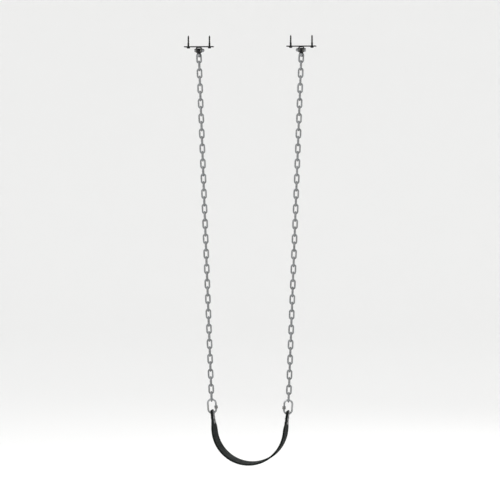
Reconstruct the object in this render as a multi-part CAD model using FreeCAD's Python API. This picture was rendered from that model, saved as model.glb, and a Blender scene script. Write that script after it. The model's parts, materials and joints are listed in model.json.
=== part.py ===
# Belt swing seat: a moulded belt hung on two chains from a pair of swing hangers.
#
# Frame, in millimetres: the origin lies in the mounting plane (the underside of the beam), midway
# between the hangers. +X runs along the beam, +Y is the way the swing travels, +Z is up.
# Each name_right piece is built in place on the +X side. Its name_left twin is the same piece
# turned half a turn about Z, apart from the clevis bolts, whose heads all face the front (-Y).
import FreeCAD, Part
import math
import os

from FreeCAD import Placement, Rotation, Vector

# ---- Overall sizes -------------------------------------------------------------------------------
HANGER_SPACING = 444.5      # between the two hangers, centre to centre
LINK_COUNT = 46             # links in each chain; even, so that the last one lies fore and aft
BELT_RADIUS = 155.0         # middle of the belt's thickness, round the bottom of its U
BELT_WRAP = 83.0            # degrees that the round part rises on each side of the bottom
BELT_ARM = 80.0             # straight part of the belt, from the end of the round part to its eye
BELT_WIDTH = 133.0
BELT_THICKNESS = 6.0

# ---- Clearances ----------------------------------------------------------------------------------
RUNNING_CLEARANCE = 0.06    # radial, a bush or sleeve on its shaft
BOLT_CLEARANCE = 0.25       # radial, a bolt in a plain hole
CONTACT_GAP = 0.15          # between two links where one hangs in the other
SIDE_PLAY = 0.3             # each side of the pendulum, between the yoke's ears
SLOT_PLAY = 1.0             # each side of the first link, between the clevis cheeks
HEAD_ROOM = 2.0             # above the bearing, under the yoke's web
CROWN_ROOM = 1.5            # above the first link, under the bearing
EYE_CLEARANCE = 3.2         # radial, the quick link in the grommet: its crown is curved

# ---- Hanger --------------------------------------------------------------------------------------
PLATE_LENGTH = 127.0
PLATE_WIDTH = 38.0
PLATE_THICKNESS = 4.0
PLATE_CORNER = 6.0
SCREW_SPACING = 92.0
SCREW_HOLE_DIAMETER = 11.0
YOKE_THICKNESS = 3.0
YOKE_BEND_RADIUS = 2.0      # inside the bend
YOKE_EAR_RADIUS = 10.0
WELD_LEG = 3.0

# ---- Lag screws: hex washer head -----------------------------------------------------------------
SCREW_DIAMETER = 7.9
SCREW_CORE_DIAMETER = 5.8
SCREW_LENGTH = 50.8         # under the head
SCREW_SHANK_LENGTH = 18.0   # plain part under the head
SCREW_THREAD_PITCH = 2.82
SCREW_POINT_LENGTH = 6.0
SCREW_HEX = 11.1            # across flats
SCREW_HEX_HEIGHT = 5.3
SCREW_FLANGE_DIAMETER = 16.5
SCREW_FLANGE_HEIGHT = 1.4

# ---- Bolts, nuts and washers ---------------------------------------------------------------------
BOLT_DIAMETER = 8.0
BOLT_HEX = 13.0             # across flats, head and nut
BOLT_HEAD_HEIGHT = 5.3
BOLT_END = 2.0              # stands past the nut
NUT_HEX_HEIGHT = 6.0
NUT_COLLAR_HEIGHT = 2.0     # the collar that holds the locking ring
NUT_COLLAR_DIAMETER = 12.0
WASHER_DIAMETER = 16.0
WASHER_THICKNESS = 1.6
HEX_CHAMFER = 0.7

# ---- Pendulum ------------------------------------------------------------------------------------
BEARING_WIDTH = 15.0
BEARING_WALL = 3.0
BUSH_WALL = 2.0
BUSH_FLANGE_DIAMETER = 16.0
BUSH_FLANGE_THICKNESS = 1.2
BUSH_SLEEVE_LENGTH = 6.5
CHEEK_THICKNESS = 4.0

# ---- Chain link ----------------------------------------------------------------------------------
LINK_WIRE = 7.0
LINK_PITCH = 32.4
LINK_INNER_WIDTH = 11.0

# ---- Quick link: an oval link closed by a screwed sleeve on its inner side -----------------------
QUICK_WIRE = 8.0
QUICK_WIDTH = 35.0          # wire centre to wire centre
QUICK_HEIGHT = 60.0         # wire centre to wire centre
QUICK_LEAN = 4.0            # degrees, its foot towards the middle of the seat
SLEEVE_HEX = 12.7
SLEEVE_LENGTH = 13.0
SLEEVE_GRIP = 2.5           # of the lower stub that the closed sleeve covers
SLEEVE_OPENING = 7.0        # gap in the wire that the sleeve bridges
SLEEVE_STUB = 4.0           # straight length of the lower stub
SLEEVE_CHAMFER = 0.8

# ---- Belt ends -----------------------------------------------------------------------------------
TAB_HALF_WIDTH = 30.0
TAB_END = 16.0              # belt past the eye's centre
TAB_CORNER = 14.0
TAPER_START = 63.0          # below the eye, where the belt starts to narrow
TAPER_END = 17.0            # below the eye, where it has its end width
TAPER_ROUNDING = 15.0       # straight edge that the rounding of each taper corner takes up
END_PLATE_THICKNESS = 2.0
END_PLATE_HALF_WIDTH = 24.0
END_PLATE_TOP = 13.0        # above the eye's centre
END_PLATE_BOTTOM = 48.0     # below the eye's centre
END_PLATE_CORNER = 8.0
GROMMET_WALL = 1.9
GROMMET_FLANGE = 2.4        # how far the rolled rim stands out from the tube
GROMMET_RIM = 0.8           # how far the rim stands off the end plate
RIVET_DIAMETER = 6.0
RIVET_HEAD_DIAMETER = 12.0
RIVET_HEAD_HEIGHT = 2.4
RIVET_ROWS = (19.0, 38.0)   # below the eye's centre
RIVET_HALF_SPACING = 15.0

# ---- Woven core inside the belt ------------------------------------------------------------------
CORE_THICKNESS = 1.2
CORE_MARGIN = 7.0           # rubber all round its edge

# ---- Places that follow from the sizes -----------------------------------------------------------
X_AXIS = Vector(1, 0, 0)
Y_AXIS = Vector(0, 1, 0)
Z_AXIS = Vector(0, 0, 1)

BOLT_RADIUS = BOLT_DIAMETER / 2
BUSH_BORE_RADIUS = BOLT_RADIUS + RUNNING_CLEARANCE
BUSH_RADIUS = BUSH_BORE_RADIUS + BUSH_WALL
BEARING_RADIUS = BUSH_RADIUS + BEARING_WALL
YOKE_HALF_GAP = BEARING_WIDTH / 2 + BUSH_FLANGE_THICKNESS + SIDE_PLAY
YOKE_HALF_WIDTH = YOKE_HALF_GAP + YOKE_THICKNESS
HANGER_X = HANGER_SPACING / 2

PIVOT_Z = -(PLATE_THICKNESS + YOKE_THICKNESS + HEAD_ROOM + BEARING_RADIUS)
CLEVIS_Z = PIVOT_Z - (BEARING_RADIUS + CROWN_ROOM + LINK_WIRE + CONTACT_GAP + BOLT_RADIUS)
CHEEK_INNER_Y = LINK_WIRE / 2 + SLOT_PLAY
CHEEK_OUTER_Y = CHEEK_INNER_Y + CHEEK_THICKNESS

LINK_INNER_LENGTH = LINK_PITCH + CONTACT_GAP
CHAIN_REACH = LINK_COUNT * LINK_PITCH - BOLT_RADIUS + LINK_WIRE / 2  # clevis bolt to last crown
QUICK_REACH = QUICK_HEIGHT - (LINK_WIRE / 2 + CONTACT_GAP + QUICK_WIRE / 2)  # last crown to foot

WRAP = math.radians(BELT_WRAP)
EYE_X = BELT_RADIUS * math.sin(WRAP) + BELT_ARM * math.cos(WRAP)
EYE_RISE = BELT_RADIUS * (1 - math.cos(WRAP)) + BELT_ARM * math.sin(WRAP)
CHAIN_END_X = EYE_X + QUICK_REACH * math.sin(math.radians(QUICK_LEAN))
CHAIN_LEAN = math.degrees(math.asin((HANGER_X - CHAIN_END_X) / CHAIN_REACH))
CHAIN_END_Z = CLEVIS_Z - CHAIN_REACH * math.cos(math.radians(CHAIN_LEAN))
EYE_Z = CHAIN_END_Z - QUICK_REACH * math.cos(math.radians(QUICK_LEAN))
BELT_CENTRE_Z = EYE_Z - EYE_RISE + BELT_RADIUS

EYE_RADIUS = QUICK_WIRE / 2 + EYE_CLEARANCE
GROMMET_RADIUS = EYE_RADIUS + GROMMET_WALL
END_HALF_THICKNESS = BELT_THICKNESS / 2 + END_PLATE_THICKNESS
SLEEVE_BORE_RADIUS = QUICK_WIRE / 2 + RUNNING_CLEARANCE


# ---- Plain shapes --------------------------------------------------------------------------------
def cylinder(radius, start, end):
    """A round bar between two points."""
    run = end - start
    return Part.makeCylinder(radius, run.Length, start, run)


def tube(outer_radius, inner_radius, start, end):
    """A round tube between two points."""
    return cylinder(outer_radius, start, end).cut(cylinder(inner_radius, start, end))


def box(low, high):
    """A box between its lowest and highest corners."""
    size = high - low
    return Part.makeBox(size.x, size.y, size.z, low)


def hexagon(across_flats, start, end, chamfer):
    """A hexagonal bar between two points, its corners turned off by a chamfer at both ends."""
    run = end - start
    corner = across_flats / math.sqrt(3)
    points = [
        Vector(corner * math.cos(math.radians(60 * i)), corner * math.sin(math.radians(60 * i)), 0)
        for i in range(7)
    ]
    bar = Part.Face(Part.makePolygon(points)).extrude(Vector(0, 0, run.Length))
    turned = Part.makeCone(corner - chamfer, corner + run.Length, run.Length + chamfer)
    bar = bar.common(turned)
    bar = bar.common(turned.mirror(Vector(0, 0, run.Length / 2), Z_AXIS))
    bar.Placement = Placement(start, Rotation(Z_AXIS, run))
    return bar


def rounded_outline(points, radii):
    """A closed wire in XY through the points, with a tangent arc of the given radius at each."""
    count = len(points)
    edges = []
    leaves = []
    for i, corner in enumerate(points):
        back = points[i - 1] - corner
        ahead = points[(i + 1) % count] - corner
        back.normalize()
        ahead.normalize()
        if radii[i] == 0:
            leaves.append((corner, corner, None))
            continue
        half = back.getAngle(ahead) / 2
        cut = radii[i] / math.tan(half)
        middle = back + ahead
        middle.normalize()
        centre = corner + middle * (radii[i] / math.sin(half))
        leaves.append((corner + back * cut, corner + ahead * cut, centre - middle * radii[i]))
    for i, (enter, leave, top) in enumerate(leaves):
        if top is not None:
            edges.append(Part.Arc(enter, top, leave).toShape())
        following = leaves[(i + 1) % count][0]
        edges.append(Part.LineSegment(leave, following).toShape())
    return Part.Wire(edges)


def prism(points, radii, height):
    """A plate whose outline lies in XY, from z 0 up to its height."""
    return Part.Face(rounded_outline(points, radii)).extrude(Vector(0, 0, height))


def turned_left(shape):
    """The +X side's piece, turned half a turn about Z onto the -X side."""
    twin = shape.copy()
    twin.rotate(Vector(), Z_AXIS, 180)
    return twin


def both_sides(name, shape):
    """A piece and its twin, by name."""
    return {name + "_right": shape, name + "_left": turned_left(shape)}


# ---- Fasteners -----------------------------------------------------------------------------------
def hex_bolt(start, direction, grip):
    """A hex bolt. Its head sits behind the start point, and it grips that length along direction."""
    head = hexagon(BOLT_HEX, start - direction * BOLT_HEAD_HEIGHT, start, HEX_CHAMFER)
    shank_end = start + direction * (grip + NUT_HEX_HEIGHT + NUT_COLLAR_HEIGHT + BOLT_END)
    return head.fuse(cylinder(BOLT_RADIUS, start, shank_end)).removeSplitter()


def lock_nut(start, direction):
    """A hex nut with a round collar over its locking ring. Its bore is the bolt's own size."""
    middle = start + direction * NUT_HEX_HEIGHT
    end = middle + direction * NUT_COLLAR_HEIGHT
    nut = hexagon(BOLT_HEX, start, middle, HEX_CHAMFER)
    nut = nut.fuse(cylinder(NUT_COLLAR_DIAMETER / 2, middle, end))
    return nut.cut(cylinder(BOLT_RADIUS, start, end)).removeSplitter()


def lag_screw(head_seat):
    """A lag screw that points up, with its washer head's upper face at head_seat."""
    core = SCREW_CORE_DIAMETER / 2
    crest = SCREW_DIAMETER / 2
    thread_length = SCREW_LENGTH - SCREW_SHANK_LENGTH - SCREW_POINT_LENGTH
    turns = int(thread_length / SCREW_THREAD_PITCH)
    profile = [Vector(0, 0, 0), Vector(crest, 0, 0), Vector(crest, 0, SCREW_SHANK_LENGTH)]
    for i in range(turns):
        root = SCREW_SHANK_LENGTH + (i + 0.5) * SCREW_THREAD_PITCH
        profile.append(Vector(core, 0, root))
        profile.append(Vector(crest, 0, root + SCREW_THREAD_PITCH / 2))
    profile.append(Vector(core, 0, SCREW_LENGTH - SCREW_POINT_LENGTH + SCREW_THREAD_PITCH / 2))
    profile.append(Vector(0, 0, SCREW_LENGTH))
    profile.append(profile[0])
    screw = Part.Face(Part.makePolygon(profile)).revolve(Vector(), Z_AXIS, 360)
    flange_foot = Vector(0, 0, -SCREW_FLANGE_HEIGHT)
    flange = cylinder(SCREW_FLANGE_DIAMETER / 2, flange_foot, Vector())
    hex_foot = Vector(0, 0, -SCREW_HEX_HEIGHT)
    head = hexagon(SCREW_HEX, hex_foot, flange_foot, HEX_CHAMFER)
    screw = screw.fuse([flange, head]).removeSplitter()
    screw.translate(head_seat)
    return screw


# ---- Hanger --------------------------------------------------------------------------------------
def hanger_plate():
    """The flat plate that screws to the beam, in place on the +X side."""
    half_length = PLATE_LENGTH / 2
    half_width = PLATE_WIDTH / 2
    corners = [
        Vector(-half_length, -half_width, 0),
        Vector(half_length, -half_width, 0),
        Vector(half_length, half_width, 0),
        Vector(-half_length, half_width, 0),
    ]
    plate = prism(corners, [PLATE_CORNER] * 4, PLATE_THICKNESS)
    for side in (-1, 1):
        foot = Vector(side * SCREW_SPACING / 2, 0, 0)
        top = foot + Vector(0, 0, PLATE_THICKNESS)
        plate = plate.cut(cylinder(SCREW_HOLE_DIAMETER / 2, foot, top))
    plate.translate(Vector(HANGER_X, 0, -PLATE_THICKNESS))
    return plate


def hanger_yoke():
    """The bent U that is welded under the plate and holds the pivot bolt between its ears."""
    top = -PLATE_THICKNESS
    foot = PIVOT_Z - YOKE_EAR_RADIUS
    bend = YOKE_BEND_RADIUS
    outline = [
        Vector(-YOKE_HALF_WIDTH, foot, 0),
        Vector(-YOKE_HALF_WIDTH, top, 0),
        Vector(YOKE_HALF_WIDTH, top, 0),
        Vector(YOKE_HALF_WIDTH, foot, 0),
        Vector(YOKE_HALF_GAP, foot, 0),
        Vector(YOKE_HALF_GAP, top - YOKE_THICKNESS, 0),
        Vector(-YOKE_HALF_GAP, top - YOKE_THICKNESS, 0),
        Vector(-YOKE_HALF_GAP, foot, 0),
    ]
    outer_bend = bend + YOKE_THICKNESS
    radii = [0, outer_bend, outer_bend, 0, 0, bend, bend, 0]
    yoke = prism(outline, radii, 2 * YOKE_EAR_RADIUS)
    yoke.rotate(Vector(), X_AXIS, 90)
    yoke.translate(Vector(0, YOKE_EAR_RADIUS, 0))

    pivot = Vector(0, 0, PIVOT_Z)
    reach = X_AXIS * (YOKE_HALF_WIDTH + 1)
    ear = cylinder(YOKE_EAR_RADIUS, pivot - reach, pivot + reach)
    low = Vector(-reach.x, -YOKE_EAR_RADIUS, PIVOT_Z)
    high = Vector(reach.x, YOKE_EAR_RADIUS, top)
    yoke = yoke.common(ear.fuse(box(low, high)))
    yoke = yoke.cut(cylinder(BOLT_RADIUS + BOLT_CLEARANCE, pivot - reach, pivot + reach))

    bead_half = YOKE_HALF_WIDTH - outer_bend
    beads = []
    for side in (-1, 1):
        edge = side * YOKE_EAR_RADIUS
        corner = [
            Vector(-bead_half, edge, top),
            Vector(-bead_half, edge + side * WELD_LEG, top),
            Vector(-bead_half, edge, top - WELD_LEG),
            Vector(-bead_half, edge, top),
        ]
        beads.append(Part.Face(Part.makePolygon(corner)).extrude(X_AXIS * (2 * bead_half)))
    yoke = yoke.fuse(beads).removeSplitter()
    yoke.translate(Vector(HANGER_X, 0, 0))
    return yoke


def hanger_screws():
    """The two lag screws of one hanger."""
    seats = [Vector(HANGER_X + side * SCREW_SPACING / 2, 0, -PLATE_THICKNESS) for side in (-1, 1)]
    return Part.makeCompound([lag_screw(seat) for seat in seats])


def pivot_bolt():
    """The bolt that the pendulum swings on. Its head is on the hanger's outer side."""
    start = Vector(HANGER_X + YOKE_HALF_WIDTH + WASHER_THICKNESS, 0, PIVOT_Z)
    return hex_bolt(start, -X_AXIS, 2 * (YOKE_HALF_WIDTH + WASHER_THICKNESS))


def pivot_nut():
    """The lock nut on the pivot bolt."""
    start = Vector(HANGER_X - YOKE_HALF_WIDTH - WASHER_THICKNESS, 0, PIVOT_Z)
    return lock_nut(start, -X_AXIS)


def pivot_washers():
    """The two washers outside the yoke's ears."""
    washers = []
    for side in (-1, 1):
        start = Vector(HANGER_X + side * YOKE_HALF_WIDTH, 0, PIVOT_Z)
        end = start + X_AXIS * (side * WASHER_THICKNESS)
        washers.append(tube(WASHER_DIAMETER / 2, BOLT_RADIUS + BOLT_CLEARANCE, start, end))
    return Part.makeCompound(washers)


# ---- Pendulum ------------------------------------------------------------------------------------
def pendulum():
    """The forged fork: a bearing tube across the top and two cheeks that hold the clevis bolt."""
    pivot = Vector(0, 0, PIVOT_Z)
    clevis = Vector(0, 0, CLEVIS_Z)
    half = BEARING_WIDTH / 2
    across = X_AXIS * half
    body = cylinder(BEARING_RADIUS, pivot - across, pivot + across)
    for side in (-1, 1):
        inner = Y_AXIS * (side * CHEEK_INNER_Y)
        outer = Y_AXIS * (side * CHEEK_OUTER_Y)
        low = Vector(-half, min(inner.y, outer.y), CLEVIS_Z)
        high = Vector(half, max(inner.y, outer.y), PIVOT_Z)
        end = cylinder(half, clevis + inner, clevis + outer)
        body = body.fuse([box(low, high), end])
    body = body.cut(cylinder(BUSH_RADIUS, pivot - across, pivot + across))
    bore = Y_AXIS * (CHEEK_OUTER_Y + 1)
    body = body.cut(cylinder(BOLT_RADIUS + BOLT_CLEARANCE, clevis - bore, clevis + bore))
    body = body.removeSplitter()
    body.translate(Vector(HANGER_X, 0, 0))
    return body


def pivot_bushes():
    """The two flanged nylon bushes, pressed in from both ends of the bearing tube."""
    bushes = []
    for side in (-1, 1):
        face = Vector(HANGER_X + side * BEARING_WIDTH / 2, 0, PIVOT_Z)
        out = X_AXIS * side
        flange_end = face + out * BUSH_FLANGE_THICKNESS
        sleeve_end = face - out * BUSH_SLEEVE_LENGTH
        bush = cylinder(BUSH_FLANGE_DIAMETER / 2, face, flange_end)
        bush = bush.fuse(cylinder(BUSH_RADIUS, sleeve_end, face))
        bushes.append(bush.cut(cylinder(BUSH_BORE_RADIUS, sleeve_end, flange_end)))
    return Part.makeCompound([bush.removeSplitter() for bush in bushes])


def clevis_bolt():
    """The bolt that the first link hangs on. Its head faces the front."""
    start = Vector(HANGER_X, -CHEEK_OUTER_Y, CLEVIS_Z)
    return hex_bolt(start, Y_AXIS, 2 * CHEEK_OUTER_Y)


def clevis_nut():
    """The lock nut on the clevis bolt."""
    return lock_nut(Vector(HANGER_X, CHEEK_OUTER_Y, CLEVIS_Z), Y_AXIS)


def shifted_left(shape):
    """The +X side's piece moved straight across to the -X side, keeping its front at the front."""
    twin = shape.copy()
    twin.translate(Vector(-HANGER_SPACING, 0, 0))
    return twin


# ---- Chain ---------------------------------------------------------------------------------------
def half_ring(bend_radius, wire_radius, centre, up):
    """Half a ring of round wire in XZ, bulging up or down from its centre."""
    start = centre + X_AXIS * bend_radius
    section = Part.Face(Part.Wire(Part.makeCircle(wire_radius, start, Z_AXIS)))
    return section.revolve(centre, -Y_AXIS, 180 if up else -180)


def chain_link():
    """One welded link, centred on the origin, in XZ, its long way along Z."""
    wire = LINK_WIRE / 2
    bend = LINK_INNER_WIDTH / 2 + wire
    straight = LINK_INNER_LENGTH / 2 - LINK_INNER_WIDTH / 2
    up = Vector(0, 0, straight)
    parts = [half_ring(bend, wire, up, True), half_ring(bend, wire, -up, False)]
    for side in (-1, 1):
        across = X_AXIS * (side * bend)
        parts.append(cylinder(wire, across - up, across + up))
    return parts[0].fuse(parts[1:]).removeSplitter()


def chain():
    """All the links of the +X chain. Odd links face the front, and even ones lie fore and aft."""
    link = chain_link()
    first = -(BOLT_RADIUS + CONTACT_GAP) + LINK_INNER_LENGTH / 2
    along = Rotation(Y_AXIS, CHAIN_LEAN)
    clevis = Vector(HANGER_X, 0, CLEVIS_Z)
    links = []
    for i in range(LINK_COUNT):
        copy = link.copy()
        quarter_turn = Rotation(Z_AXIS, 90 * (i % 2))
        place = clevis + along.multVec(Vector(0, 0, -(first + i * LINK_PITCH)))
        copy.Placement = Placement(place, along.multiply(quarter_turn))
        links.append(copy)
    return Part.makeCompound(links)


# ---- Quick link ----------------------------------------------------------------------------------
def placed_quick(shape):
    """A shape drawn round the quick link's own centre, put in place on the +X side."""
    lean = Rotation(Y_AXIS, QUICK_LEAN)
    foot = Vector(EYE_X, 0, EYE_Z)
    shape.Placement = Placement(foot + lean.multVec(Vector(0, 0, QUICK_HEIGHT / 2)), lean)
    return shape


def quick_link():
    """The bent wire of the quick link, open on its inner side where the sleeve screws over it."""
    wire = QUICK_WIRE / 2
    bend = QUICK_WIDTH / 2
    straight = QUICK_HEIGHT / 2 - bend
    up = Vector(0, 0, straight)
    outer = X_AXIS * bend
    inner = -outer
    stub_top = inner + Vector(0, 0, SLEEVE_STUB - straight)
    gap_top = stub_top + Vector(0, 0, SLEEVE_OPENING)
    parts = [
        half_ring(bend, wire, -up, False),
        cylinder(wire, outer - up, outer + up),
        cylinder(wire, inner - up, stub_top),
        cylinder(wire, gap_top, inner + up),
    ]
    return placed_quick(half_ring(bend, wire, up, True).fuse(parts).removeSplitter())


def quick_sleeve():
    """The hexagonal sleeve, screwed down to close the quick link."""
    bend = QUICK_WIDTH / 2
    stub_top = SLEEVE_STUB - (QUICK_HEIGHT / 2 - bend)
    foot = Vector(-bend, 0, stub_top - SLEEVE_GRIP)
    top = foot + Vector(0, 0, SLEEVE_LENGTH)
    sleeve = hexagon(SLEEVE_HEX, foot, top, SLEEVE_CHAMFER)
    sleeve = Part.makeCompound([sleeve.cut(cylinder(SLEEVE_BORE_RADIUS, foot, top))]).Solids[0]
    return placed_quick(sleeve)


# ---- Belt ----------------------------------------------------------------------------------------
def arm_place(depth):
    """Where an end piece goes. It is drawn with X down the belt from the eye, Y across the belt
    and Z out of its outer face, from that depth off the middle of the belt's thickness."""
    down = Vector(-math.cos(WRAP), 0, -math.sin(WRAP))
    out = Vector(math.sin(WRAP), 0, -math.cos(WRAP))
    turn = Rotation(down, Y_AXIS, out, "XYZ")
    return Placement(Vector(EYE_X, 0, EYE_Z) + out * depth, turn)


def arm_outline(margin):
    """The belt's outline from its round part to its end, drawn in by a margin, and the arc of
    each corner."""
    wide = BELT_WIDTH / 2 - margin
    narrow = TAB_HALF_WIDTH - margin
    end = -(TAB_END - margin)
    turn = math.atan2(wide - narrow, TAPER_START - TAPER_END)
    shoulder = TAPER_ROUNDING / math.tan(turn / 2)
    half = [
        (Vector(BELT_ARM, wide, 0), 0),
        (Vector(TAPER_START, wide, 0), shoulder),
        (Vector(TAPER_END, narrow, 0), shoulder),
        (Vector(end, narrow, 0), TAB_CORNER - margin / 2),
    ]
    other = [(Vector(point.x, -point.y, 0), radius) for point, radius in reversed(half)]
    return [point for point, _ in half + other], [radius for _, radius in half + other]


def belt_layer(thickness, margin):
    """A strip of the belt's own run: its round part and both arms, drawn in by a margin."""
    inner = BELT_RADIUS - thickness / 2
    outer = BELT_RADIUS + thickness / 2
    half_width = BELT_WIDTH / 2 - margin
    centre = Vector(0, 0, BELT_CENTRE_Z)

    def point(radius, angle):
        return centre + Vector(radius * math.sin(angle), 0, -radius * math.cos(angle))

    section = Part.Wire([
        Part.Arc(point(outer, -WRAP), point(outer, 0), point(outer, WRAP)).toShape(),
        Part.LineSegment(point(outer, WRAP), point(inner, WRAP)).toShape(),
        Part.Arc(point(inner, WRAP), point(inner, 0), point(inner, -WRAP)).toShape(),
        Part.LineSegment(point(inner, -WRAP), point(outer, -WRAP)).toShape(),
    ])
    bowl = Part.Face(section).extrude(Y_AXIS * (2 * half_width))
    bowl.translate(Y_AXIS * -half_width)
    arm = prism(*arm_outline(margin), thickness)
    arm.Placement = arm_place(-thickness / 2)
    return bowl.fuse([arm, turned_left(arm)]).removeSplitter()


def rivet_centres():
    """The rivets' places on one end, in the end's own drawing."""
    return [(row, side * RIVET_HALF_SPACING) for row in RIVET_ROWS for side in (-1, 1)]


def end_holes():
    """The bars that bore one belt end for its grommet and rivets."""
    reach = END_HALF_THICKNESS + 1
    bars = [Part.makeCylinder(GROMMET_RADIUS, 2 * reach)]
    for x, y in rivet_centres():
        bars.append(Part.makeCylinder(RIVET_DIAMETER / 2, 2 * reach, Vector(x, y, 0)))
    cutter = Part.makeCompound(bars)
    cutter.Placement = arm_place(-reach)
    return cutter


def bored(shape):
    """A belt layer with the grommet and rivet holes of both ends."""
    cutter = end_holes()
    return shape.cut([*cutter.Solids, *turned_left(cutter).Solids]).removeSplitter()


def belt_core():
    """The woven ply moulded into the belt."""
    return bored(belt_layer(CORE_THICKNESS, CORE_MARGIN))


def belt():
    """The moulded belt round its woven core."""
    cavity = belt_layer(CORE_THICKNESS, CORE_MARGIN)
    return bored(belt_layer(BELT_THICKNESS, 0).cut(cavity))


def end_plate(outer):
    """A stiffening plate on one face of the belt end."""
    corners = [
        Vector(-END_PLATE_TOP, -END_PLATE_HALF_WIDTH, 0),
        Vector(END_PLATE_BOTTOM, -END_PLATE_HALF_WIDTH, 0),
        Vector(END_PLATE_BOTTOM, END_PLATE_HALF_WIDTH, 0),
        Vector(-END_PLATE_TOP, END_PLATE_HALF_WIDTH, 0),
    ]
    plate = prism(corners, [END_PLATE_CORNER] * 4, END_PLATE_THICKNESS)
    depth = BELT_THICKNESS / 2 if outer else -END_HALF_THICKNESS
    plate.Placement = arm_place(depth)
    return plate.cut(end_holes().Solids)


def grommet():
    """The steel eye of the belt end: a tube with a rim rolled over each end plate."""
    half = END_HALF_THICKNESS + GROMMET_RIM
    rim_radius = GROMMET_RADIUS + GROMMET_FLANGE
    profile = [
        Vector(EYE_RADIUS, 0, -half),
        Vector(rim_radius - GROMMET_RIM, 0, -half),
        Vector(rim_radius, 0, -END_HALF_THICKNESS),
        Vector(GROMMET_RADIUS, 0, -END_HALF_THICKNESS),
        Vector(GROMMET_RADIUS, 0, END_HALF_THICKNESS),
        Vector(rim_radius, 0, END_HALF_THICKNESS),
        Vector(rim_radius - GROMMET_RIM, 0, half),
        Vector(EYE_RADIUS, 0, half),
    ]
    eye = Part.Face(Part.makePolygon([*profile, profile[0]])).revolve(Vector(), Z_AXIS, 360)
    eye.Placement = arm_place(0)
    return eye


def rivet():
    """A rivet with a domed head on each end, centred on the origin along Z."""
    head_radius = RIVET_HEAD_DIAMETER / 2
    ball = (head_radius**2 + RIVET_HEAD_HEIGHT**2) / (2 * RIVET_HEAD_HEIGHT)
    shank = Part.makeCylinder(
        RIVET_DIAMETER / 2, 2 * END_HALF_THICKNESS, Vector(0, 0, -END_HALF_THICKNESS)
    )
    dome = Part.makeSphere(ball, Vector(0, 0, END_HALF_THICKNESS + RIVET_HEAD_HEIGHT - ball))
    keep = Part.makeCylinder(head_radius + 1, ball, Vector(0, 0, END_HALF_THICKNESS))
    dome = dome.common(keep)
    return shank.fuse([dome, dome.mirror(Vector(), Z_AXIS)]).removeSplitter()


def end_rivets():
    """The four rivets of one belt end."""
    rivets = []
    for x, y in rivet_centres():
        copy = rivet()
        copy.translate(Vector(x, y, 0))
        rivets.append(copy)
    group = Part.makeCompound(rivets)
    group.Placement = arm_place(0)
    return group


# ---- The whole seat ------------------------------------------------------------------------------
def build():
    """Every piece, by node name."""
    nodes = {}
    for name, maker in (
        ("hanger_plate", hanger_plate),
        ("hanger_yoke", hanger_yoke),
        ("lag_screws", hanger_screws),
        ("pivot_bolt", pivot_bolt),
        ("pivot_nut", pivot_nut),
        ("pivot_washers", pivot_washers),
        ("pendulum", pendulum),
        ("pivot_bushes", pivot_bushes),
        ("chain", chain),
        ("quick_link", quick_link),
        ("quick_sleeve", quick_sleeve),
        ("grommet", grommet),
        ("end_rivets", end_rivets),
    ):
        nodes.update(both_sides(name, maker()))
    for name, maker in (("clevis_bolt", clevis_bolt), ("clevis_nut", clevis_nut)):
        shape = maker()
        nodes[name + "_right"] = shape
        nodes[name + "_left"] = shifted_left(shape)
    nodes.update(both_sides("outer_end_plate", end_plate(True)))
    nodes.update(both_sides("inner_end_plate", end_plate(False)))
    nodes["belt"] = belt()
    nodes["belt_core"] = belt_core()
    return nodes


def main():
    """Writes one STEP file for each node into parts/."""
    os.makedirs("parts", exist_ok=True)
    for name, shape in build().items():
        shape.exportStep("parts/" + name + ".step")


if __name__ == "__main__":
    main()
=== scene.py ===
"""Looks of the belt swing seat: its finishes, its remade pieces, and the studio round it.

Everything is in metres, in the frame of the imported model: X along the beam, Y the way the swing
travels, Z up, with the origin in the hangers' mounting plane.
"""

import json
import logging
import math
from dataclasses import dataclass, field
from enum import Enum

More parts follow.
